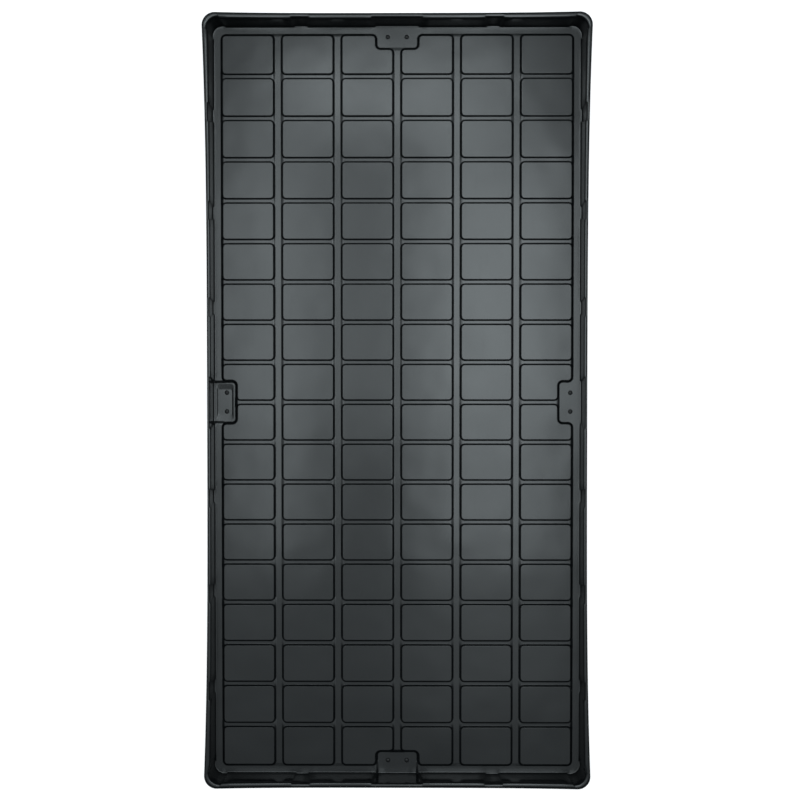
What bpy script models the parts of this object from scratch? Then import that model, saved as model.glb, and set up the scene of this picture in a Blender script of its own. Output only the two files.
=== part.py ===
"""Flood tray for a greenhouse bench, with eight push-in blanking plugs.

The tray is one formed plastic sheet: a floor of raised pads with drain channels between them,
four side walls with shallow recesses, and a flat lip. X runs across the tray, Y along it and Z
up. The origin is on the bench plane below the middle of the tray. Everything is in metres.
"""

import math

import bmesh
import bpy
from mathutils import Vector
from mathutils.geometry import delaunay_2d_cdt

# Overall size, and the sheet that the tray is formed from.
WIDTH = 0.610
LENGTH = 1.220
HEIGHT = 0.0508
SHEET = 0.003

# Heights of the sheet's upper face. The underside of the sumps is at zero.
SUMP_Z = SHEET
CHANNEL_Z = SUMP_Z + 0.004
PAD_Z = CHANNEL_Z + 0.005

# Floor pattern. Spacings along the tray grow slightly towards both ends.
COLUMNS = 6
ROWS = 18
COLUMN_PITCH = 0.0948
ROW_PITCH = 0.0637
MAIN_CHANNEL = 0.0124
CROSS_CHANNEL = 0.0066
FIELD_HALF_WIDTH = 0.2789
FIELD_HALF_LENGTH = 0.5828
END_STRETCH = 0.019
PAD_CORNER = 0.0035

# Fitting tabs, cut into the pads in the middle of each side. Two of them are sunk as sumps.
TAB_HALF_WIDTH = 0.0333
TAB_DEPTH = 0.022
SUMP_LEDGE = 0.0015

# Side walls: straight panels that stand proud of the recesses and of the corners. The pairs are
# half the width and half the length at that level, or the bow of the long and of the short sides.
BASE_HALF = (0.2940, 0.5978)
TOP_HALF = (0.2985, 0.6033)
BASE_RADIUS = 0.017
TOP_RADIUS = 0.018
LIP_RADIUS = 0.020
PANEL_STEP = 0.002
PANEL_RAMP = 0.002
CORNER_RUN = 0.022
LONG_RECESS_PITCH = 0.150
SHORT_RECESS_PITCH = 0.1523
RECESS_HALF_AT_BASE = 0.009
RECESS_HALF_AT_TOP = 0.0135
TAB_RECESS_HALF_AT_BASE = 0.033
TAB_RECESS_HALF_AT_TOP = 0.0395
TOP_BOW = (0.0038, 0.0015)
LIP_BOW = (0.0068, 0.0020)
BOW_POWER = 3.5
CORNER_SEGMENTS = 4

# Blanking plugs and their holes.
HOLE_RADIUS = 0.0025
PLUG_HALF_SPACING = 0.01505
TAB_PLUG_INSET = 0.0025
SUMP_PLUG_INSET = 0.006
HEAD_RADIUS = 0.0036
HEAD_HEIGHT = 0.0014
STEM_RADIUS = 0.0022
STEM_LENGTH = 0.0028
GAP = 0.0003
PLUG_SIDES = 16
DOME_STEPS = 3
HOLE_CUT_DEPTH = 0.012

# Each tab's name, its outward direction, and whether it is sunk.
TABS = (
    ("right", Vector((1, 0)), False),
    ("far", Vector((0, 1)), False),
    ("left", Vector((-1, 0)), True),
    ("near", Vector((0, -1)), True),
)


def remove_everything():
    for item in list(bpy.data.objects):
        bpy.data.objects.remove(item)


def new_collection(name):
    collection = bpy.data.collections.new(name)
    bpy.context.scene.collection.children.link(collection)
    return collection


def plastic(name, color, roughness):
    material = bpy.data.materials.new(name)
    material.use_nodes = True
    shader = material.node_tree.nodes["Principled BSDF"]
    shader.inputs["Base Color"].default_value = (*color, 1.0)
    shader.inputs["Roughness"].default_value = roughness
    shader.inputs["Metallic"].default_value = 0.0
    return material


def stretched(distance):
    """A place along the tray, moved outwards by the growth of the spacing towards the ends."""
    return distance * (1 + END_STRETCH * (distance / (ROW_PITCH * ROWS / 2)) ** 2)


def channel_edges(count, middle_of, channel, half_field):
    """The low and high edge of each pad across one direction of the field."""
    edges = []
    for index in range(count):
        low = middle_of(index - count / 2) + channel / 2 if index > 0 else -half_field
        high = middle_of(index + 1 - count / 2) - channel / 2 if index < count - 1 else half_field
        edges.append((low, high))
    return edges


def tab_box(outward):
    """The low and high corner of a tab's cut into the field of pads."""
    field_edge = FIELD_HALF_WIDTH if outward.x else FIELD_HALF_LENGTH
    across = Vector((abs(outward.y), abs(outward.x))) * TAB_HALF_WIDTH
    inner = outward * (field_edge - TAB_DEPTH)
    outer = outward * (field_edge + TAB_DEPTH)
    low = Vector((min(inner.x, outer.x), min(inner.y, outer.y))) - across
    high = Vector((max(inner.x, outer.x), max(inner.y, outer.y))) + across
    return low, high


def bitten_corner(before, corner, inside_x, inside_y, boxes):
    """A pad's corner, or the three corners that a tab leaves of it."""
    for low, high in boxes:
        if low.x < corner.x < high.x and low.y < corner.y < high.y:
            bite = Vector((
                next(x for x in (low.x, high.x) if inside_x[0] < x < inside_x[1]),
                next(y for y in (low.y, high.y) if inside_y[0] < y < inside_y[1]),
            ))
            ends = [Vector((corner.x, bite.y)), Vector((bite.x, corner.y))]
            if abs(before.x - corner.x) > abs(before.y - corner.y):
                ends.reverse()
            return [ends[0], bite, ends[1]]
    return [corner]


def cut_corners(corners, size):
    """A closed outline with each corner replaced by a short straight cut."""
    outline = []
    for index, corner in enumerate(corners):
        before = corners[index - 1]
        after = corners[(index + 1) % len(corners)]
        outline.append(corner + (before - corner).normalized() * size)
        outline.append(corner + (after - corner).normalized() * size)
    return outline


def pad_outlines():
    """The outline of each pad, counter-clockwise."""
    columns = channel_edges(COLUMNS, lambda n: n * COLUMN_PITCH, MAIN_CHANNEL, FIELD_HALF_WIDTH)
    rows = channel_edges(ROWS, lambda n: stretched(n * ROW_PITCH), CROSS_CHANNEL, FIELD_HALF_LENGTH)
    boxes = [tab_box(outward) for _, outward, _ in TABS]
    outlines = []
    for column in columns:
        for row in rows:
            (left, right), (near, far) = column, row
            corners = [Vector(c) for c in ((left, near), (right, near), (right, far), (left, far))]
            outline = []
            for index, corner in enumerate(corners):
                outline += bitten_corner(corners[index - 1], corner, column, row, boxes)
            outlines.append(cut_corners(outline, PAD_CORNER))
    return outlines


def sump_outlines():
    """The outline of each sump, a ledge inside the tab's edges and the wall behind it."""
    outlines = []
    for _, outward, sunk in TABS:
        if not sunk:
            continue
        along = Vector((-outward.y, outward.x)) * (TAB_HALF_WIDTH - SUMP_LEDGE)
        field_edge, wall = (
            (FIELD_HALF_WIDTH, BASE_HALF[0]) if outward.x else (FIELD_HALF_LENGTH, BASE_HALF[1])
        )
        inner = outward * (field_edge - TAB_DEPTH + SUMP_LEDGE)
        outer = outward * (wall - SUMP_LEDGE)
        corners = [inner - along, outer - along, outer + along, inner + along]
        outlines.append(cut_corners(corners, PAD_CORNER))
    return outlines


def side_stations(half_along, is_long, recess_half, tab_half, step, radius):
    """(distance along a side, inward step) at each bend of the side, from corner to corner."""
    pitch, count = (LONG_RECESS_PITCH, 3) if is_long else (SHORT_RECESS_PITCH, 1)
    start = half_along - CORNER_RUN
    stations = [(radius - half_along, 0.0), (-start - PANEL_RAMP, 0.0), (-start, step)]
    for index in range(-count, count + 1):
        middle = stretched(index * pitch) if is_long else index * pitch
        half = recess_half if index else tab_half
        stations += [
            (middle - half - PANEL_RAMP, step),
            (middle - half, 0.0),
            (middle + half, 0.0),
            (middle + half + PANEL_RAMP, step),
        ]
    stations += [(start, step), (start + PANEL_RAMP, 0.0), (half_along - radius, 0.0)]
    return stations


def wall_ring(half, radius, bows, recess_half, tab_half, step):
    """The bends of the wall at one level, counter-clockwise from the near end of the right side."""
    points = []
    for quarter in range(4):
        outward = TABS[quarter][1]
        along = Vector((-outward.y, outward.x))
        is_long = quarter % 2 == 0
        out, half_along = half if is_long else reversed(half)
        straight = half_along - radius
        bow = bows[quarter % 2]
        for s, inward in side_stations(half_along, is_long, recess_half, tab_half, step, radius):
            inward += bow * (1 - (abs(s) / straight) ** BOW_POWER)
            points.append(outward * (out - inward) + along * s)
        centre = outward * (out - radius) + along * straight
        for index in range(1, CORNER_SEGMENTS):
            angle = math.pi / 2 * index / CORNER_SEGMENTS
            points.append(centre + (outward * math.cos(angle) + along * math.sin(angle)) * radius)
    return points


def add_floor(mesh, wall_base, pads, sumps):
    """Fills the floor, raises the pads and sinks the sumps. Returns the corners at the wall's foot."""
    outlines = [wall_base] + pads + sumps
    points = []
    loops = []
    for outline in outlines:
        loops.append(range(len(points), len(points) + len(outline)))
        points += outline
    inside_only = 1
    places, _, faces, sources, _, owners = delaunay_2d_cdt(
        points, [], [list(loop) for loop in loops], inside_only, 1e-6, True
    )
    corners = [mesh.verts.new((*place, CHANNEL_Z)) for place in places]
    raised = []
    sunk = []
    for face, owner in zip(faces, owners):
        innermost = max(owner, default=None)
        if innermost is None:
            continue
        made = mesh.faces.new([corners[index] for index in face])
        if innermost > len(pads):
            sunk.append(made)
        elif innermost > 0:
            raised.append(made)
    for region, rise in ((raised, PAD_Z - CHANNEL_Z), (sunk, SUMP_Z - CHANNEL_Z)):
        pushed = bmesh.ops.extrude_face_region(mesh, geom=region)["geom"]
        moved = [item for item in pushed if isinstance(item, bmesh.types.BMVert)]
        bmesh.ops.translate(mesh, vec=(0, 0, rise), verts=moved)
        bmesh.ops.delete(mesh, geom=[face for face in region if face.is_valid], context="FACES")
    foot = {}
    for index, source in enumerate(sources):
        for original in source:
            if original < len(wall_base):
                foot[original] = corners[index]
    return [foot[index] for index in range(len(wall_base))]


def add_wall(mesh, foot, rings):
    """Lofts the wall and the lip outwards from the wall's foot."""
    inner = foot
    for ring, height in rings:
        outer = [mesh.verts.new((*point, height)) for point in ring]
        for index in range(len(inner)):
            following = (index + 1) % len(inner)
            mesh.faces.new((inner[index], outer[index], outer[following], inner[following]))
        inner = outer


def make_tray(collection, material, hole_cutters):
    lip_half = (WIDTH / 2, LENGTH / 2)
    at_base = (RECESS_HALF_AT_BASE, TAB_RECESS_HALF_AT_BASE)
    at_top = (RECESS_HALF_AT_TOP, TAB_RECESS_HALF_AT_TOP)
    base = wall_ring(BASE_HALF, BASE_RADIUS, (0, 0), *at_base, PANEL_STEP)
    top = wall_ring(TOP_HALF, TOP_RADIUS, TOP_BOW, *at_top, PANEL_STEP)
    lip = wall_ring(lip_half, LIP_RADIUS, LIP_BOW, *at_top, 0)
    mesh = bmesh.new()
    foot = add_floor(mesh, base, pad_outlines(), sump_outlines())
    add_wall(mesh, foot, ((top, HEIGHT), (lip, HEIGHT)))
    data = bpy.data.meshes.new("tray")
    mesh.to_mesh(data)
    mesh.free()
    tray = bpy.data.objects.new("tray", data)
    tray.data.materials.append(material)
    collection.objects.link(tray)
    sheet = tray.modifiers.new("sheet thickness", "SOLIDIFY")
    sheet.thickness = SHEET
    sheet.offset = -1
    sheet.solidify_mode = "NON_MANIFOLD"
    sheet.nonmanifold_thickness_mode = "CONSTRAINTS"
    holes = tray.modifiers.new("plug holes", "BOOLEAN")
    holes.operand_type = "COLLECTION"
    holes.collection = hole_cutters
    holes.operation = "DIFFERENCE"
    holes.solver = "EXACT"


def plug_places():
    """Each plug's name and the middle of its hole on the sheet's upper face."""
    places = []
    for name, outward, sunk in TABS:
        field_edge = FIELD_HALF_WIDTH if outward.x else FIELD_HALF_LENGTH
        middle = outward * (field_edge - (SUMP_PLUG_INSET if sunk else TAB_PLUG_INSET))
        for sign in (-1, 1):
            side = Vector((abs(outward.y), abs(outward.x))) * sign
            place = middle + side * PLUG_HALF_SPACING
            end = {(1, 0): "right", (-1, 0): "left", (0, 1): "far", (0, -1): "near"}[tuple(side)]
            places.append((f"plug_{name}_{end}", Vector((*place, SUMP_Z if sunk else CHANNEL_Z))))
    return places


def make_hole_cutter(collection, name, place):
    bpy.ops.mesh.primitive_cylinder_add(
        vertices=PLUG_SIDES, radius=HOLE_RADIUS, depth=HOLE_CUT_DEPTH, location=place
    )
    cutter = bpy.context.object
    cutter.name = f"hole_for_{name}"
    cutter.hide_render = True
    cutter.display_type = "WIRE"
    for other in list(cutter.users_collection):
        other.objects.unlink(cutter)
    collection.objects.link(cutter)


def plug_mesh(material):
    """A low domed head on a straight stem, turned about Z. The hole's upper rim is at zero."""
    profile = []
    for step in range(DOME_STEPS):
        angle = math.pi / 2 * step / DOME_STEPS
        profile.append((HEAD_RADIUS * math.sin(angle), GAP + HEAD_HEIGHT * math.cos(angle)))
    profile += [(HEAD_RADIUS, GAP), (STEM_RADIUS, GAP), (STEM_RADIUS, -STEM_LENGTH), (0, -STEM_LENGTH)]
    corners = [(radius, 0, z) for radius, z in profile]
    edges = [(index, index + 1) for index in range(len(corners) - 1)]
    data = bpy.data.meshes.new("plug")
    data.from_pydata(corners, edges, [])
    data.materials.append(material)
    return data


def make_plug(collection, data, name, place):
    plug = bpy.data.objects.new(name, data)
    plug.location = place
    collection.objects.link(plug)
    turn = plug.modifiers.new("turned shape", "SCREW")
    turn.steps = PLUG_SIDES
    turn.render_steps = PLUG_SIDES
    turn.use_merge_vertices = True
    turn.merge_threshold = 0.00001


def main():
    remove_everything()
    parts = new_collection("flood tray")
    cutters = new_collection("cutters")
    tray_plastic = plastic("black formed plastic", (0.020, 0.022, 0.024), 0.42)
    plug_plastic = plastic("black moulded plug", (0.012, 0.012, 0.013), 0.5)
    places = plug_places()
    for name, place in places:
        make_hole_cutter(cutters, name, place)
    make_tray(parts, tray_plastic, cutters)
    data = plug_mesh(plug_plastic)
    for name, place in places:
        make_plug(parts, data, name, place)


main()
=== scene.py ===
"""Looks of the flood tray: its moulding as one fine two-sided sheet, and its blanking plugs.

X runs across the tray, Y along it and Z up, in metres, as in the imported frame. The moulding has an
upper and a lower skin. Each is a floor with raised pads and sunk pockets, a wall swept round it and
a lip, all made of rings that follow one outline at a changing offset and height.
"""

import math

import bmesh
import bpy
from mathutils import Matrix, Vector, kdtree
from mathutils.geometry import delaunay_2d_cdt


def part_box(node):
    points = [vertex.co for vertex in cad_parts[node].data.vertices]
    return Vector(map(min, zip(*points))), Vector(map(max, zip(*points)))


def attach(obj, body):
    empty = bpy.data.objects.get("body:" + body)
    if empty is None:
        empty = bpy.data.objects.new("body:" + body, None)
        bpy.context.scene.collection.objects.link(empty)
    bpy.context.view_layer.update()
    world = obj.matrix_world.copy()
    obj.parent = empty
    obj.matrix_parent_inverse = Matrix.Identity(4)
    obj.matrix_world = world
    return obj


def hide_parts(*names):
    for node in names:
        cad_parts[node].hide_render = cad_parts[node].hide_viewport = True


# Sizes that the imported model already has.
WIDTH = 0.610
LENGTH = 1.220
HEIGHT = 0.0508
SHEET = 0.003
PAD_Z = 0.012
CHANNEL_Z = 0.007
POCKET_Z = 0.003
COLUMNS = 6
ROWS = 18
COLUMN_PITCH = 0.0948
ROW_PITCH = 0.0637
END_STRETCH = 0.019
MAIN_CHANNEL = 0.0124
CROSS_CHANNEL = 0.0066
FIELD_HALF_WIDTH = 0.2789
FIELD_HALF_LENGTH = 0.5828
TAB_HALF_WIDTH = 0.0333
TAB_DEPTH = 0.022
PANEL_STEP = 0.002
PANEL_RAMP = 0.002
CORNER_RUN = 0.022
LONG_RECESS_PITCH = 0.150
SHORT_RECESS_PITCH = 0.1523
BOW_POWER = 3.5
HOLE_RADIUS = 0.0025
HEAD_RADIUS = 0.0036
HEAD_RISE = 0.0013
STEM_RADIUS = 0.0022
STEM_LENGTH = 0.0028

# Finer shape of the floor.
MAIN_Z = 0.0077
CROSS_Z = 0.0089
LEDGE_Z = 0.0042
PAD_RADIUS = 0.0068
PAD_SEGMENTS = 7
DEEPEST_SHARE = 1.25
MOUTH_RUN = 0.0034
POCKET_HALF_WIDTH = 0.0288
POCKET_LEDGE = 0.0063
POCKET_RADIUS = 0.004
POCKET_SLOPE = 0.0088
RING_GAP = 0.006
SUPPORT = 0.0006

# Finer shape of the wall and the lip. Turns are in degrees from the floor or the lip, and the wall's
# sheet and its rings' shares are of its thickness and height. The lip's two curves are (share of the
# lip's width, drop), the outer one over places from its start, 0, to the lip's edge, 1.
FOOT_FILLET = 0.0016
LOWER_FOOT_FILLET = 0.0031
FOOT_TURN = (0, 84)
WALL_SHARES = (0.3, 0.6, 0.85)
LIP_INNER = (0.34, 0.0014)
LIP_INNER_TURN = (8, 82)
LIP_SLANT = 0.00016
LIP_OUTER = (0.52, 0.0012)
LIP_OUTER_PLACES = (0.0, 0.15, 0.3, 0.45, 0.6, 0.75, 0.9, 1.0)
LIP_EDGE = 0.0003
LIP_CORNER = 0.0006
LIP_UNDERCUT = 0.0004
WALL_SHEET = 0.0022
WALL_SEGMENTS = 12
FOOT_SEGMENTS = 5
LOWER_FOOT_SEGMENTS = 4
LIP_INNER_SEGMENTS = 5
LIP_CORNER_SEGMENTS = 2
RAMP_STEPS = 4
STATION_GAP = 0.014

# Finer shape of the plugs and their holes. The stem's tip is (cut from its radius, rise from its end).
# A hole is (radius of the ring that the floor is filled up to, radius where its rim starts to round,
# height that the rim turns through).
HEAD_GAP = 0.0003
HEAD_EDGE = 0.0001
STEM_FILLET = 0.0002
STEM_TIP = ((0.0, 0.0006), (0.0002, 0.0002), (0.0006, 0.0))
HEAD_SEGMENTS = 9
RIM_SEGMENTS = 3
PLUG_STEPS = 48
HOLE_STEPS = 24
UPPER_HOLE = (0.0044, 0.0031, -0.0006)
LOWER_HOLE = (0.0038, 0.0028, 0.0003)

# Limits for matching the two sides of a channel: its width, and how far its points may be out of line.
CHANNEL_WIDTHS = (0.0005, 0.034)
LOOSE_SLIP = 0.0006
EXACT_SLIP = 0.00002

# The directions that the four sides face, counter-clockwise from +X, and the floor at their tabs.
OUTWARD = (Vector((1, 0)), Vector((0, 1)), Vector((-1, 0)), Vector((0, -1)))
TAB_Z = (CHANNEL_Z, CHANNEL_Z, LEDGE_Z, POCKET_Z)

# The wall's outline at its foot, at its top and at the lip's edge: half sizes, corner radius, inward
# bow of the long and the short sides, half widths of a plain and of a tab's recess, and how far the
# panels between the recesses stand in.
FOOT = {
    "half": (0.2940, 0.5978), "radius": 0.017, "bow": (0.0, 0.0),
    "recess": 0.009, "tab": 0.033, "step": PANEL_STEP,
}
TOP = {
    "half": (0.2985, 0.6033), "radius": 0.018, "bow": (0.0038, 0.0015),
    "recess": 0.0135, "tab": 0.0395, "step": PANEL_STEP,
}
LIP = {
    "half": (WIDTH / 2, LENGTH / 2), "radius": 0.020, "bow": (0.0068, 0.0020),
    "recess": 0.0135, "tab": 0.0395, "step": 0.0,
}

# Tones of the surfaces, each from darkest to lightest, and the light. A soft box is (name, middle, size,
# radiance). The broad one is a little higher, so that the others cover it.
PLASTIC_TONES = ((0.0050, 0.0058, 0.0066), (0.0080, 0.0092, 0.0102))
RUBBER_TONES = ((0.004, 0.004, 0.005), (0.008, 0.008, 0.009))
FLOOR_TONES = ((0.86, 0.86, 0.86), (0.88, 0.88, 0.88))
SKY_TINT = (0.885, 0.985, 1.02)
SOFT_BOXES = (
    ("broad_box", (0.0, 0.28, 3.15), (2.6, 0.94), 0.78),
    ("right_box", (0.33, 0.12, 3.1), (0.49, 1.54), 2.35),
    ("near_box", (0.33, -0.94, 3.1), (0.55, 0.56), 0.33),
    ("left_box", (-0.48, 0.22, 3.1), (0.25, 1.75), 1.9),
    ("far_box", (-0.04, 1.06, 3.1), (0.88, 0.29), 3.4),
)
CAMERA_PLACE = (0.0177, 0.0647, 2.36)
CAMERA_TILT = (-1.4316, 0.3824, 0.0)
CAMERA_LENS = 66.56
CAMERA_SENSOR = 36.0
FLOOR_SIZE = 60.0
FLOOR_DROP = 0.0002

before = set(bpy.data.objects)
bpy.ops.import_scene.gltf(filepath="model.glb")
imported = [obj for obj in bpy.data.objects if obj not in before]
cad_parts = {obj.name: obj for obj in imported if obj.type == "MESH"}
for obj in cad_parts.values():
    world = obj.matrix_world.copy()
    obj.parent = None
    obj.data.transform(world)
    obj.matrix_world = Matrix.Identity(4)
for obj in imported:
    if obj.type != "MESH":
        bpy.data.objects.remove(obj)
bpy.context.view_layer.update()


def smooth(t):
    """A step from 0 to 1 with soft ends."""
    t = min(max(t, 0.0), 1.0)
    return t * t * (3 - 2 * t)


def mix(a, b, t):
    return a + (b - a) * t


def quarter_turn(count, start=0.0, end=90.0):
    """The sines and cosines of evenly spaced angles, in degrees, from start to end."""
    angles = [math.radians(mix(start, end, index / count)) for index in range(count + 1)]
    return [(math.sin(angle), math.cos(angle)) for angle in angles]


# ---------------------------------------------------------------- outlines of the floor's features


def stretched(distance):
    """A place along the tray, moved outwards by the growth of the spacing towards the ends."""
    return distance * (1 + END_STRETCH * (distance / (ROW_PITCH * ROWS / 2)) ** 2)


def channel_edges(count, middle_of, channel, half_field):
    edges = []
    for index in range(count):
        low = middle_of(index - count / 2) + channel / 2 if index > 0 else -half_field
        high = middle_of(index + 1 - count / 2) - channel / 2 if index < count - 1 else half_field
        edges.append((low, high))
    return edges


def tab_boxes():
    """The low and high corner of each tab's cut into the field of pads, and the tab's level."""
    boxes = []
    for outward, level in zip(OUTWARD, TAB_Z):
        field_edge = FIELD_HALF_WIDTH if outward.x else FIELD_HALF_LENGTH
        across = Vector((abs(outward.y), abs(outward.x))) * TAB_HALF_WIDTH
        ends = [outward * (field_edge - TAB_DEPTH), outward * (field_edge + TAB_DEPTH)]
        low = Vector((min(p.x for p in ends), min(p.y for p in ends))) - across
        high = Vector((max(p.x for p in ends), max(p.y for p in ends))) + across
        boxes.append((low, high, level))
    return boxes


def pad_polygons():
    """Each pad as a list of (corner, level of the floor along the edge that leaves it)."""
    columns = channel_edges(COLUMNS, lambda n: n * COLUMN_PITCH, MAIN_CHANNEL, FIELD_HALF_WIDTH)
    rows = channel_edges(ROWS, lambda n: stretched(n * ROW_PITCH), CROSS_CHANNEL, FIELD_HALF_LENGTH)
    polygons = []
    for column, (left, right) in enumerate(columns):
        left_z = MAIN_Z if column > 0 else CHANNEL_Z
        right_z = MAIN_Z if column < COLUMNS - 1 else CHANNEL_Z
        for row, (near, far) in enumerate(rows):
            near_z = CROSS_Z if row > 0 else CHANNEL_Z
            far_z = CROSS_Z if row < ROWS - 1 else CHANNEL_Z
            corners = [
                (Vector((left, near)), near_z),
                (Vector((right, near)), right_z),
                (Vector((right, far)), far_z),
                (Vector((left, far)), left_z),
            ]
            polygons.append(bitten(corners, (left, right), (near, far)))
    return polygons


def bitten(corners, inside_x, inside_y):
    """The polygon with a corner that lies in a tab replaced by the three corners that are left."""
    result = []
    for index, (corner, level) in enumerate(corners):
        before, level_before = corners[index - 1]
        for low, high, tab_level in tab_boxes():
            if low.x < corner.x < high.x and low.y < corner.y < high.y:
                bite = Vector((
                    next(x for x in (low.x, high.x) if inside_x[0] < x < inside_x[1]),
                    next(y for y in (low.y, high.y) if inside_y[0] < y < inside_y[1]),
                ))
                ends = [Vector((corner.x, bite.y)), Vector((bite.x, corner.y))]
                if abs(before.x - corner.x) > abs(before.y - corner.y):
                    ends.reverse()
                result += [(ends[0], tab_level), (bite, tab_level), (ends[1], level)]
                break
        else:
            result.append((corner, level))
    return result


def pocket_polygon():
    """The pocket in the tab on the left: ledges are left towards the pads and towards the wall."""
    outward = OUTWARD[2]
    along = Vector((-outward.y, outward.x)) * POCKET_HALF_WIDTH
    inner = outward * (FIELD_HALF_WIDTH - TAB_DEPTH + POCKET_LEDGE)
    outer = outward * (FOOT["half"][0] - POCKET_LEDGE)
    return [(corner, LEDGE_Z) for corner in (inner - along, outer - along, outer + along, inner + along)]


class RoundedOutline:
    """A polygon of right angles with round corners, which can be offset at will.

    Each point knows the level of the floor at its foot. Round a corner between two levels, the
    level rises in a short step just behind the lower edge. A step's run grows with its depth, up to
    a limit past which a deeper step is only steeper.
    """

    def __init__(self, polygon, radius):
        self.arcs = []
        self.levels = []
        self.higher_side = []
        count = len(polygon)
        for index in range(count):
            corner, level_out = polygon[index]
            before, level_in = polygon[index - 1]
            after = polygon[(index + 1) % count][0]
            way_in = (corner - before).normalized()
            way_out = (after - corner).normalized()
            normal_in = Vector((way_in.y, -way_in.x))
            normal_out = Vector((way_out.y, -way_out.x))
            convex = way_in.cross(way_out) > 0
            self.arcs.append((corner, normal_in, normal_out, radius if convex else -radius))
            low, high = sorted((level_in, level_out))
            across = normal_out if level_in <= level_out else normal_in
            for sine, cosine in quarter_turn(PAD_SEGMENTS):
                behind = (radius + UPPER_PAD.foot) * (1 - (cosine if level_in <= level_out else sine))
                self.levels.append(mix(low, high, smooth(behind / MOUTH_RUN)))
                has_step = high > low and behind < MOUTH_RUN + SUPPORT
                self.higher_side.append(across if has_step else None)
        whole = PAD_Z - CHANNEL_Z
        self.shares = [min((PAD_Z - level) / whole, DEEPEST_SHARE) for level in self.levels]

    def ring(self, offset, shift=0.0):
        """The outline moved outwards by offset, times the depth's share, plus shift."""
        points = []
        shares = iter(self.shares)
        for corner, normal_in, normal_out, radius in self.arcs:
            centre = corner - (normal_in + normal_out) * radius
            for sine, cosine in quarter_turn(PAD_SEGMENTS):
                reach = radius + shift + offset * next(shares)
                points.append(centre + (normal_in * cosine + normal_out * sine) * reach)
        return points

    def oblong_ring(self, offset, end_offset):
        """The outline moved outwards by one offset along X, its ends shifted by another along Y."""
        points = []
        for corner, normal_in, normal_out, radius in self.arcs:
            outwards = normal_in + normal_out
            centre = corner - outwards * radius
            centre.y += math.copysign(1, outwards.y) * end_offset
            for sine, cosine in quarter_turn(PAD_SEGMENTS):
                way = normal_in * cosine + normal_out * sine
                points.append(centre + Vector((way.x * (radius + offset), way.y * radius)))
        return points


def circle(centre, radius, count=HOLE_STEPS):
    step = 2 * math.pi / count
    return [
        centre + Vector((math.cos(index * step), math.sin(index * step))) * radius
        for index in range(count)
    ]


# ---------------------------------------------------------------- outline of the wall and the lip


def wall_shape(height):
    """The wall's outline at a height between 0, its foot, and 1, its top, and on to 2, the lip."""
    low, high, t = (FOOT, TOP, height) if height <= 1 else (TOP, LIP, height - 1)
    return {
        "half": tuple(mix(a, b, t) for a, b in zip(low["half"], high["half"])),
        "bow": tuple(mix(a, b, t) for a, b in zip(low["bow"], high["bow"])),
        **{key: mix(low[key], high[key], t) for key in ("radius", "recess", "tab", "step")},
    }


def side_bends(shape, half_along, pitch, count, is_long, tab_marks):
    """(distance along the side, share of the panel's step) at each bend, from end to end."""
    start = half_along - CORNER_RUN
    bends = [(shape["radius"] - half_along, 0.0), (-start - PANEL_RAMP, 0.0), (-start, 1.0)]
    for index in range(-count, count + 1):
        middle = index * pitch
        if is_long:
            middle = stretched(middle)
        half = shape["recess"] if index else shape["tab"]
        bends += [(middle - half - PANEL_RAMP, 1.0), (middle - half, 0.0)]
        if index == 0:
            marks = [s for s in tab_marks if s < FOOT["tab"]]
            for s in [-mark for mark in reversed(marks)] + marks:
                bends.append((s * shape["tab"] / FOOT["tab"], 0.0))
        bends += [(middle + half, 0.0), (middle + half + PANEL_RAMP, 1.0)]
    bends += [(start, 1.0), (start + PANEL_RAMP, 0.0), (half_along - shape["radius"], 0.0)]
    return bends


def side_places(shape, quarter):
    """(distance along the side, share of the panel's step) at each station of the side."""
    is_long = quarter % 2 == 0
    pitch, count = (LONG_RECESS_PITCH, 3) if is_long else (SHORT_RECESS_PITCH, 1)
    tab_marks = [distance for distance, _ in tab_steps(TAB_Z[quarter])]

    def bends_of(outline):
        half_along = outline["half"][1] if is_long else outline["half"][0]
        return side_bends(outline, half_along, pitch, count, is_long, tab_marks)

    bends = bends_of(shape)
    plain = bends_of(FOOT)
    places = []
    for index in range(len(bends) - 1):
        (s0, step0), (s1, step1) = bends[index], bends[index + 1]
        length = plain[index + 1][0] - plain[index][0]
        parts = RAMP_STEPS if step0 != step1 else max(1, math.ceil(length / STATION_GAP))
        for part in range(parts):
            t = part / parts
            places.append((mix(s0, s1, t), mix(step0, step1, smooth(t))))
    places.append(bends[-1])
    return places


def wall_ring(height, inset):
    """(point, floor level there) round the wall, pushed inwards by inset."""
    shape = wall_shape(height)
    radius = shape["radius"] - inset
    ring = []
    for quarter, outward in enumerate(OUTWARD):
        is_long = quarter % 2 == 0
        along = Vector((-outward.y, outward.x))
        out, half_along = shape["half"] if is_long else shape["half"][::-1]
        straight = half_along - shape["radius"]
        for s, share in side_places(shape, quarter):
            bow = shape["bow"][quarter % 2] * (1 - (abs(s) / straight) ** BOW_POWER)
            point = outward * (out - bow - shape["step"] * share - inset) + along * s
            ring.append((point, tab_floor(abs(s), TAB_Z[quarter])))
        centre = outward * (out - shape["radius"]) + along * straight
        for sine, cosine in quarter_turn(WALL_SEGMENTS)[1:-1]:
            ring.append((centre + outward * (radius * cosine) + along * (radius * sine), CHANNEL_Z))
    return ring


def tab_steps(level):
    """(distance from the tab's middle, floor level) where the pads' corners step up from the tab."""
    size = PAD_RADIUS * 4
    square = [(0, 0), (size, 0), (size, size), (0, size)]
    polygon = [(Vector(corner), level if index == 0 else CHANNEL_Z) for index, corner in enumerate(square)]
    outline = RoundedOutline(polygon, PAD_RADIUS)
    corner = slice(PAD_SEGMENTS + 1, 2 * (PAD_SEGMENTS + 1))
    points = outline.ring(UPPER_PAD.foot)[corner]
    return [(TAB_HALF_WIDTH + point.y, z) for point, z in zip(points, outline.levels[corner])]


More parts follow.
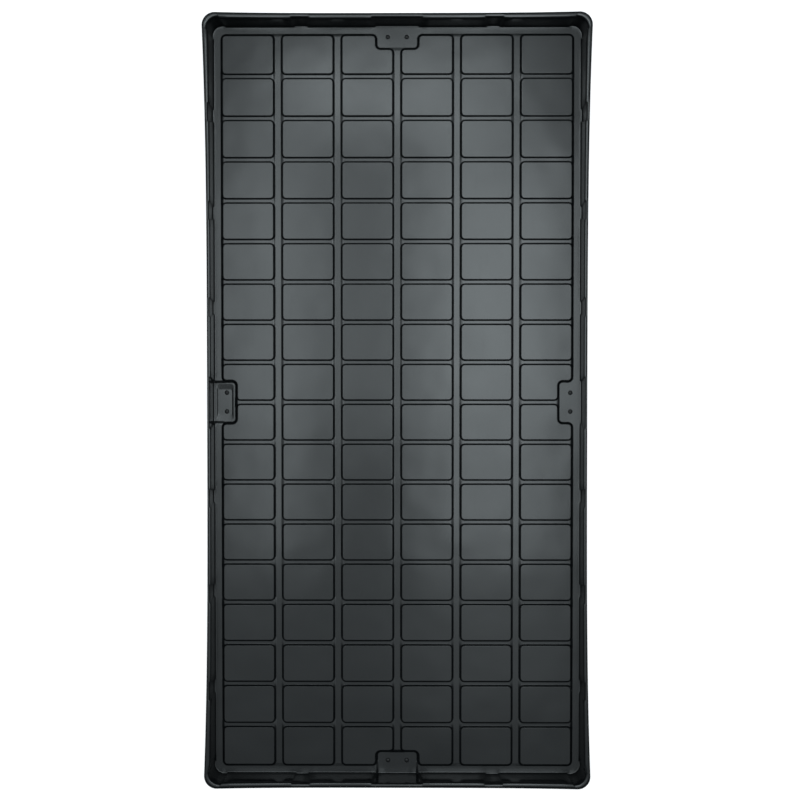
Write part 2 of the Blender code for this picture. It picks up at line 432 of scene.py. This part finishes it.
def tab_floor(distance, level):
    """The level of the floor between a tab and the wall, at a distance from the tab's middle."""
    before = (0.0, level)
    for step in tab_steps(level):
        if distance < step[0]:
            share = (distance - before[0]) / (step[0] - before[0])
            return mix(before[1], step[1], share)
        before = step
    return CHANNEL_Z


# ---------------------------------------------------------------- profiles


class StepProfile:
    """A steep step between two levels with a fillet at its top and one at its foot.

    It runs over offsets from inner, at the top, to outer, at the foot, with a supporting ring
    beyond each. Its rings are (offset, drop from the top) and (offset, rise from the foot).
    """

    def __init__(self, inner, outer, top_radius, foot_radius, steepest=70.0, segments=3, shift=0.0):
        self.shift = shift
        self.top_rings = [(inner - SUPPORT, 0.0)]
        for sine, cosine in quarter_turn(segments, 0, steepest):
            self.top_rings.append((inner + top_radius * sine, top_radius * (1 - cosine)))
        self.foot_rings = [(outer + SUPPORT, 0.0)]
        for sine, cosine in quarter_turn(segments, 0, steepest):
            self.foot_rings.append((outer - foot_radius * sine, foot_radius * (1 - cosine)))
        self.foot = outer + SUPPORT


UPPER_PAD = StepProfile(-0.0023, 0.0021, 0.0006, 0.0006, steepest=55.0)
LOWER_PAD = StepProfile(-0.0018, 0.0020, 0.0004, 0.0012, steepest=55.0, segments=2, shift=-0.0020)
UPPER_POCKET = StepProfile(-0.0012, 0.0012, 0.0004, 0.0004, steepest=27.0)
LOWER_POCKET = StepProfile(0.0, 0.0024, 0.0004, 0.0004, steepest=27.0)


def upper_wall_profile():
    """(height as in wall_shape, inset, "floor" or "fixed", z above that) of the upper skin's rings."""
    span = HEIGHT - CHANNEL_Z
    rings = [(0.0, FOOT_FILLET + SUPPORT, "floor", 0.0)]
    for sine, cosine in quarter_turn(FOOT_SEGMENTS, *FOOT_TURN):
        rings.append((0.0, FOOT_FILLET * (1 - sine), "floor", FOOT_FILLET * (1 - cosine)))
    for share in WALL_SHARES:
        rings.append((share, 0.0, "fixed", CHANNEL_Z + span * share))
    share, drop = LIP_INNER
    for sine, cosine in quarter_turn(LIP_INNER_SEGMENTS, *LIP_INNER_TURN):
        z = HEIGHT - LIP_SLANT - drop * (1 - sine)
        rings.append((1.0 + share * (1 - cosine), 0.0, "fixed", z))
    share, drop = LIP_OUTER
    for place in LIP_OUTER_PLACES:
        rings.append((2.0 - share * (1 - place), 0.0, "fixed", HEIGHT - drop * place * place))
    rings.append((2.0, 0.0, "fixed", HEIGHT - drop - LIP_EDGE))
    return rings


def lower_wall_profile():
    """The same for the lower skin, from the floor's underside to the underside of the lip."""
    span = HEIGHT - CHANNEL_Z
    radius = LOWER_FOOT_FILLET
    middle = radius - WALL_SHEET
    rings = [(0.0, middle + SUPPORT, "floor", -SHEET)]
    for sine, cosine in quarter_turn(LOWER_FOOT_SEGMENTS, *FOOT_TURN):
        rings.append((0.0, middle - radius * sine, "floor", radius * (1 - cosine) - SHEET))
    for share in WALL_SHARES:
        rings.append((share, -WALL_SHEET, "fixed", CHANNEL_Z + span * share - SHEET))
    for sine, cosine in quarter_turn(LIP_CORNER_SEGMENTS):
        inset = -WALL_SHEET - LIP_CORNER * (1 - cosine)
        rings.append((1.0, inset, "fixed", HEIGHT - SHEET - LIP_CORNER * (1 - sine)))
    rings.append((2.0, LIP_UNDERCUT, "fixed", HEIGHT - SHEET))
    return rings


# ---------------------------------------------------------------- building the skins


def add_ring(mesh, points):
    return [mesh.verts.new(point) for point in points]


def join_rings(mesh, first, second):
    for index in range(len(first)):
        following = (index + 1) % len(first)
        mesh.faces.new((first[index], first[following], second[following], second[index]))


def facing_point(tree, points, index, across):
    """The nearest point straight across a channel from the one given, or None.

    Points exactly in line come before the others.
    """
    narrowest, widest = CHANNEL_WIDTHS
    here = points[index]
    along = Vector((-across.y, across.x))
    found = []
    for place, other, _ in tree.find_range((*(here + across * widest / 2), 0), widest / 2):
        apart = Vector(place[:2]) - here
        gap = apart.dot(across)
        slip = abs(apart.dot(along))
        if gap > narrowest and slip < LOOSE_SLIP:
            found.append((slip > EXACT_SLIP, gap, other))
    return min(found, key=lambda match: match[:2])[2] if found else None


def filled(points, edges, loops):
    """The points triangulated inside the first loop: places, faces, sources of each place, owners."""
    places, _, faces, sources, _, owners = delaunay_2d_cdt(points, edges, loops, 1, 1e-7, True)
    return places, faces, sources, owners


class Skin:
    """One face of the sheet: its floor, pads, pockets and wall, down or up to the lip's edge."""

    def __init__(self, mesh, pad, pocket, wall, hole, sink):
        self.mesh = mesh
        self.pad_profile = pad
        self.wall_profile = wall
        self.hole_profile = hole
        self.sink = sink
        self.loops = []
        self.points = []
        self.levels = []
        self.across = []
        self.hole_rims = {}
        self.pocket = RoundedOutline(pocket_polygon(), POCKET_RADIUS)
        pocket_steps = self.pocket_steps(pocket)

        wall_foot = self.add_wall_loop()
        pads = [self.add_pad_loop(polygon) for polygon in pad_polygons()]
        pocket_edge = self.add_loop(self.pocket.oblong_ring(*pocket_steps[0][:2]), self.pocket.levels)
        holes = {name: self.add_hole_loop(place) for name, place in HOLES.items() if not in_pocket(place)}
        self.verts = self.fill_floor()

        for outline, indices in pads:
            self.raise_pad(outline, self.ring_of(indices))
        for name, indices in holes.items():
            self.round_hole(name, self.ring_of(indices))
        self.sink_pocket(self.ring_of(pocket_edge), pocket_steps[1:])
        self.edge = self.raise_wall(self.ring_of(wall_foot))

    def add_loop(self, points, levels, across=None):
        start = len(self.points)
        self.points += points
        self.levels += levels
        self.across += across or [None] * len(points)
        self.loops.append(list(range(start, start + len(points))))
        return self.loops[-1]

    def add_wall_loop(self):
        height, inset = self.wall_profile[0][:2]
        ring = wall_ring(height, inset)
        return self.add_loop([point for point, _ in ring], [level for _, level in ring])

    def add_pad_loop(self, polygon):
        outline = RoundedOutline(polygon, PAD_RADIUS)
        points = outline.ring(self.pad_profile.foot, self.pad_profile.shift)
        return outline, self.add_loop(points, outline.levels, outline.higher_side)

    def add_hole_loop(self, place):
        ring = circle(place.xy, self.hole_profile[0])
        return self.add_loop(ring, [place.z] * len(ring))

    def ring_of(self, indices):
        return [self.verts[index] for index in indices]

    def follow(self, ring, rings):
        """Joins a ring of vertices to each ring of points in turn, and returns the last ring."""
        for points in rings:
            following = add_ring(self.mesh, points)
            join_rings(self.mesh, ring, following)
            ring = following
        return ring

    def mouth_edges(self):
        """Lines across each channel mouth, so that its step has straight edges."""
        tree = kdtree.KDTree(len(self.points))
        for index, point in enumerate(self.points):
            tree.insert((*point, 0), index)
        tree.balance()
        edges = set()
        for index, across in enumerate(self.across):
            if across is None:
                continue
            other = facing_point(tree, self.points, index, across)
            if other is not None:
                edges.add(tuple(sorted((index, other))))
        return sorted(edges)

    def fill_floor(self):
        """Fills the floor between the wall, pads, pocket and holes. Returns each point's vertex."""
        places, faces, sources, owners = filled(self.points, self.mouth_edges(), self.loops)
        verts = {}
        made = []
        for place, source in zip(places, sources):
            level = self.levels[source[0]] if source else CHANNEL_Z
            made.append(self.mesh.verts.new((*place, level - self.sink)))
            for index in source:
                verts[index] = made[-1]
        self.add_faces(made, faces, owners)
        return verts

    def add_faces(self, verts, faces, owners):
        """Adds the faces that lie inside the outer loop and in none of the others."""
        for face, owner in zip(faces, owners):
            if list(owner) == [0]:
                self.mesh.faces.new([verts[index] for index in face])

    def raise_pad(self, outline, ring):
        profile = self.pad_profile
        steps = [(offset, "foot", rise) for offset, rise in profile.foot_rings[1:]]
        steps += [(offset, "top", drop) for offset, drop in reversed(profile.top_rings)]
        rings = []
        for offset, anchor, change in steps:
            points = []
            for point, level in zip(outline.ring(offset, profile.shift), outline.levels):
                z = level + change if anchor == "foot" else PAD_Z - change
                points.append((*point, z - self.sink))
            rings.append(points)
        self.mesh.faces.new(self.follow(ring, rings))

    def pocket_steps(self, profile):
        """(offset along X, offset along Y, height) of each ring of the pocket, going in and down."""
        total = profile.top_rings[0][0] + profile.foot_rings[0][0]
        steps = [(total - offset, LEDGE_Z - drop) for offset, drop in profile.top_rings]
        steps += [(total - offset, POCKET_Z + rise) for offset, rise in reversed(profile.foot_rings)]
        depth = LEDGE_Z - POCKET_Z
        return [
            (offset, SUPPORT - POCKET_SLOPE * ((LEDGE_Z - z) / depth + index * RING_GAP), z)
            for index, (offset, z) in enumerate(steps)
        ]

    def sink_pocket(self, ring, steps):
        """Leads the pocket down from its edge, and fills its floor round the holes in it."""
        ring = self.follow(ring, [
            [(*point, z - self.sink) for point in self.pocket.oblong_ring(offset, end_offset)]
            for offset, end_offset, z in steps
        ])
        points = [vert.co.xy for vert in ring]
        loops = [list(range(len(points)))]
        names = [name for name, place in HOLES.items() if in_pocket(place)]
        for name in names:
            rim = circle(HOLES[name].xy, self.hole_profile[0])
            loops.append(list(range(len(points), len(points) + len(rim))))
            points += rim
        places, faces, sources, owners = filled(points, [], loops)
        made = []
        by_source = {}
        for place, (source, *_) in zip(places, sources):
            if source < len(ring):
                made.append(ring[source])
            else:
                made.append(self.mesh.verts.new((*place, POCKET_Z - self.sink)))
            by_source[source] = made[-1]
        self.add_faces(made, faces, owners)
        for name, loop in zip(names, loops[1:]):
            self.round_hole(name, [by_source[index] for index in loop])

    def round_hole(self, name, ring):
        """Rounds the rim of a plug hole and keeps the ring inside it."""
        place = HOLES[name]
        _, rim, turn = self.hole_profile
        rings = []
        for sine, cosine in quarter_turn(RIM_SEGMENTS):
            radius = rim - (rim - HOLE_RADIUS) * sine
            z = place.z - self.sink + turn * (1 - cosine)
            rings.append([(*point, z) for point in circle(place.xy, radius)])
        self.hole_rims[name] = self.follow(ring, rings)

    def raise_wall(self, ring):
        rings = []
        for height, inset, anchor, z in self.wall_profile[1:]:
            points = []
            for point, level in wall_ring(height, inset):
                points.append((*point, level + z if anchor == "floor" else z))
            rings.append(points)
        return self.follow(ring, rings)


def in_pocket(place):
    return place.x < -FIELD_HALF_WIDTH + TAB_DEPTH and abs(place.y) < POCKET_HALF_WIDTH


def plug_holes():
    """Each plug's name and the middle of its hole on the sheet's upper face, from the frame."""
    head_height = HEAD_GAP + HEAD_EDGE + HEAD_RISE
    holes = {}
    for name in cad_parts:
        if name.startswith("plug_"):
            low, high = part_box(name)
            middle = (low + high) / 2
            middle.z = min((CHANNEL_Z, POCKET_Z), key=lambda z: abs(z - (high.z - head_height)))
            holes[name] = middle
    return holes


HOLES = plug_holes()


def object_of(mesh, name):
    """A smooth-shaded object made of the mesh, with its faces turned outwards."""
    bmesh.ops.recalc_face_normals(mesh, faces=mesh.faces)
    data = bpy.data.meshes.new(name)
    mesh.to_mesh(data)
    mesh.free()
    data.shade_smooth()
    made = bpy.data.objects.new(name, data)
    bpy.context.scene.collection.objects.link(made)
    return made


def make_moulding():
    mesh = bmesh.new()
    upper = Skin(mesh, UPPER_PAD, UPPER_POCKET, upper_wall_profile(), UPPER_HOLE, 0.0)
    lower = Skin(mesh, LOWER_PAD, LOWER_POCKET, lower_wall_profile(), LOWER_HOLE, SHEET)
    join_rings(mesh, upper.edge, lower.edge)
    for name, rim in upper.hole_rims.items():
        join_rings(mesh, rim, lower.hole_rims[name])
    return object_of(mesh, "moulding")


def plug_profile():
    """(radius, z) down a low domed head, its flat underside and a stem with a blunt tip."""
    rim = HEAD_GAP + HEAD_EDGE
    turns = quarter_turn(HEAD_SEGMENTS)
    head = [(HEAD_RADIUS * sine, rim + HEAD_RISE * cosine) for sine, cosine in turns]
    neck = [
        (HEAD_RADIUS - HEAD_EDGE, HEAD_GAP),
        (STEM_RADIUS + STEM_FILLET, HEAD_GAP),
        (STEM_RADIUS, HEAD_GAP - STEM_FILLET),
    ]
    tip = [(STEM_RADIUS - cut, rise - STEM_LENGTH) for cut, rise in STEM_TIP]
    return head + neck + tip + [(0.0, -STEM_LENGTH)]


def make_plug(node, place):
    """A plug turned about the middle of its hole, from its top point to its bottom point."""
    mesh = bmesh.new()
    first, *between, last = plug_profile()
    top, bottom = [mesh.verts.new(place + Vector((0, 0, z))) for _, z in (first, last)]
    rings = []
    for radius, z in between:
        points = circle(place.xy, radius, PLUG_STEPS)
        rings.append(add_ring(mesh, [(*point, place.z + z) for point in points]))
    for upper, lower in zip(rings, rings[1:]):
        join_rings(mesh, upper, lower)
    for index in range(PLUG_STEPS):
        mesh.faces.new((top, rings[0][index - 1], rings[0][index]))
        mesh.faces.new((bottom, rings[-1][index], rings[-1][index - 1]))
    return object_of(mesh, node + "_cap")


# ---------------------------------------------------------------- materials


def ranged(tree, source, low_in, high_in, low_out, high_out):
    """The source with one range of values mapped onto another, and held at its ends."""
    node = tree.nodes.new("ShaderNodeMapRange")
    limits = {"From Min": low_in, "From Max": high_in, "To Min": low_out, "To Max": high_out}
    for name, value in limits.items():
        node.inputs[name].default_value = value
    tree.links.new(source, node.inputs["Value"])
    return node.outputs["Result"]


def combined(tree, operation, first, second):
    """Two sources, or a source and a number, put through one arithmetic operation."""
    node = tree.nodes.new("ShaderNodeMath")
    node.operation = operation
    for socket, value in zip(node.inputs, (first, second)):
        if isinstance(value, (int, float)):
            socket.default_value = value
        else:
            tree.links.new(value, socket)
    return node.outputs["Value"]


class Nodes:
    """A short way to build a material's node tree."""

    def __init__(self, name):
        self.material = bpy.data.materials.new(name)
        self.material.use_nodes = True
        self.tree = self.material.node_tree
        self.shader = self.tree.nodes["Principled BSDF"]
        self.place = self.tree.nodes.new("ShaderNodeTexCoord").outputs["Object"]

    def link(self, source, target):
        self.tree.links.new(source, target)

    def stretched_place(self, scale):
        mapping = self.tree.nodes.new("ShaderNodeMapping")
        mapping.inputs["Scale"].default_value = scale
        self.link(self.place, mapping.inputs["Vector"])
        return mapping.outputs["Vector"]

    def noise(self, scale, detail=3.0, roughness=0.55, place=None):
        noise = self.tree.nodes.new("ShaderNodeTexNoise")
        noise.inputs["Scale"].default_value = scale
        noise.inputs["Detail"].default_value = detail
        noise.inputs["Roughness"].default_value = roughness
        self.link(place or self.place, noise.inputs["Vector"])
        return noise.outputs["Fac"]

    def ranged(self, source, *limits):
        return ranged(self.tree, source, *limits)

    def combined(self, operation, first, second):
        return combined(self.tree, operation, first, second)

    def colors(self, fac, first, second):
        node = self.tree.nodes.new("ShaderNodeMix")
        node.data_type = "RGBA"
        self.link(fac, node.inputs["Factor"])
        node.inputs["A"].default_value = (*first, 1.0)
        node.inputs["B"].default_value = (*second, 1.0)
        return node.outputs["Result"]

    def bump(self, height, distance, strength=1.0, before=None):
        node = self.tree.nodes.new("ShaderNodeBump")
        node.inputs["Distance"].default_value = distance
        node.inputs["Strength"].default_value = strength
        self.link(height, node.inputs["Height"])
        if before:
            self.link(before, node.inputs["Normal"])
        return node.outputs["Normal"]


def formed_plastic():
    """Satin black sheet: a fine grain, soft waves left by forming, faint scuffs along the tray."""
    nodes = Nodes("formed_plastic")
    clouds = nodes.noise(9.0, detail=4.0)
    grain = nodes.noise(1900.0, detail=2.0)
    waves = nodes.noise(14.0, detail=1.0)
    scuffs = nodes.noise(30.0, detail=6.0, roughness=0.7, place=nodes.stretched_place((6.0, 0.5, 6.0)))
    scuffed = nodes.ranged(scuffs, 0.60, 0.74, 0.0, 1.0)
    tone = nodes.combined(
        "ADD", nodes.combined("MULTIPLY", clouds, 0.8), nodes.combined("MULTIPLY", scuffed, 0.25)
    )
    rough = nodes.combined(
        "ADD", nodes.ranged(clouds, 0.3, 0.7, 0.15, 0.19), nodes.combined("MULTIPLY", scuffed, 0.05)
    )
    waved = nodes.bump(waves, 0.0006, strength=0.9)
    nodes.link(nodes.colors(tone, *PLASTIC_TONES), nodes.shader.inputs["Base Color"])
    nodes.link(rough, nodes.shader.inputs["Roughness"])
    nodes.link(nodes.bump(grain, 0.00002, strength=0.2, before=waved), nodes.shader.inputs["Normal"])
    nodes.shader.inputs["Specular IOR Level"].default_value = 0.5
    return nodes.material


def plug_rubber():
    """Darker, duller and faintly pitted."""
    nodes = Nodes("plug_rubber")
    mottle = nodes.noise(700.0, detail=3.0)
    pits = nodes.noise(3500.0, detail=2.0)
    nodes.link(nodes.colors(mottle, *RUBBER_TONES), nodes.shader.inputs["Base Color"])
    nodes.link(nodes.ranged(mottle, 0.3, 0.7, 0.30, 0.40), nodes.shader.inputs["Roughness"])
    nodes.link(nodes.bump(pits, 0.00002, strength=0.6), nodes.shader.inputs["Normal"])
    nodes.shader.inputs["Specular IOR Level"].default_value = 0.3
    return nodes.material


def pale_floor():
    """Matt white, and faintly glowing so that it stays white under the dark parts of the sky."""
    nodes = Nodes("pale_floor")
    nodes.link(nodes.colors(nodes.noise(3.0), *FLOOR_TONES), nodes.shader.inputs["Base Color"])
    nodes.shader.inputs["Roughness"].default_value = 0.9
    nodes.shader.inputs["Specular IOR Level"].default_value = 0.1
    nodes.shader.inputs["Emission Color"].default_value = (1.0, 1.0, 1.0, 1.0)
    nodes.shader.inputs["Emission Strength"].default_value = 0.75
    return nodes.material


# ---------------------------------------------------------------- camera, light and floor


def add_camera():
    """Almost straight above, and nearer to the far end, so that the near end looks smaller."""
    data = bpy.data.cameras.new("camera")
    data.sensor_width = CAMERA_SENSOR
    data.lens = CAMERA_LENS
    camera = bpy.data.objects.new("camera", data)
    camera.location = CAMERA_PLACE
    camera.rotation_euler = [math.radians(angle) for angle in CAMERA_TILT]
    bpy.context.scene.collection.objects.link(camera)
    bpy.context.scene.camera = camera


def add_soft_box(name, location, size, radiance):
    """A rectangle that shines straight down. Its power is what gives it the radiance."""
    data = bpy.data.lights.new(name, "AREA")
    data.shape = "RECTANGLE"
    data.size, data.size_y = size
    data.energy = radiance * 4 * size[0] * size[1]
    data.color = SKY_TINT
    light = bpy.data.objects.new(name, data)
    light.location = location
    bpy.context.scene.collection.objects.link(light)


def add_surround():
    """Bright above, fading towards the near end, dark below that, and paler near the horizon."""
    world = bpy.data.worlds.new("surround")
    world.use_nodes = True
    tree = world.node_tree
    parts = tree.nodes.new("ShaderNodeSeparateXYZ")
    tree.links.new(tree.nodes.new("ShaderNodeTexCoord").outputs["Generated"], parts.inputs["Vector"])
    along, up = parts.outputs["Y"], parts.outputs["Z"]
    above = combined(
        tree, "MULTIPLY", ranged(tree, along, -0.40, -0.18, 0.0, 1.0), ranged(tree, up, 0.6, 0.9, 0.0, 0.8)
    )
    horizon = combined(
        tree, "MULTIPLY", ranged(tree, along, 0.3, 0.8, 1.0, 0.3), ranged(tree, up, 0.0, 0.3, 0.20, 0.0)
    )
    low = combined(tree, "ADD", horizon, ranged(tree, up, 0.4, 0.6, 0.26, 0.04))
    light = combined(tree, "ADD", above, low)
    background = tree.nodes["Background"]
    background.inputs["Color"].default_value = (*SKY_TINT, 1.0)
    tree.links.new(light, background.inputs["Strength"])
    bpy.context.scene.world = world
    bpy.context.scene.view_settings.view_transform = "Standard"


def add_floor():
    bpy.ops.mesh.primitive_plane_add(size=FLOOR_SIZE, location=(0, 0, -FLOOR_DROP))
    floor = bpy.context.object
    floor.name = "floor"
    floor.data.materials.append(pale_floor())


def main():
    add_camera()
    for box in SOFT_BOXES:
        add_soft_box(*box)
    add_surround()
    add_floor()
    moulding = make_moulding()
    moulding.data.materials.append(formed_plastic())
    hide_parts("tray")
    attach(moulding, "tray")
    rubber = plug_rubber()
    for node, place in HOLES.items():
        plug = make_plug(node, place)
        plug.data.materials.append(rubber)
        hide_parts(node)
        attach(plug, node)


main()
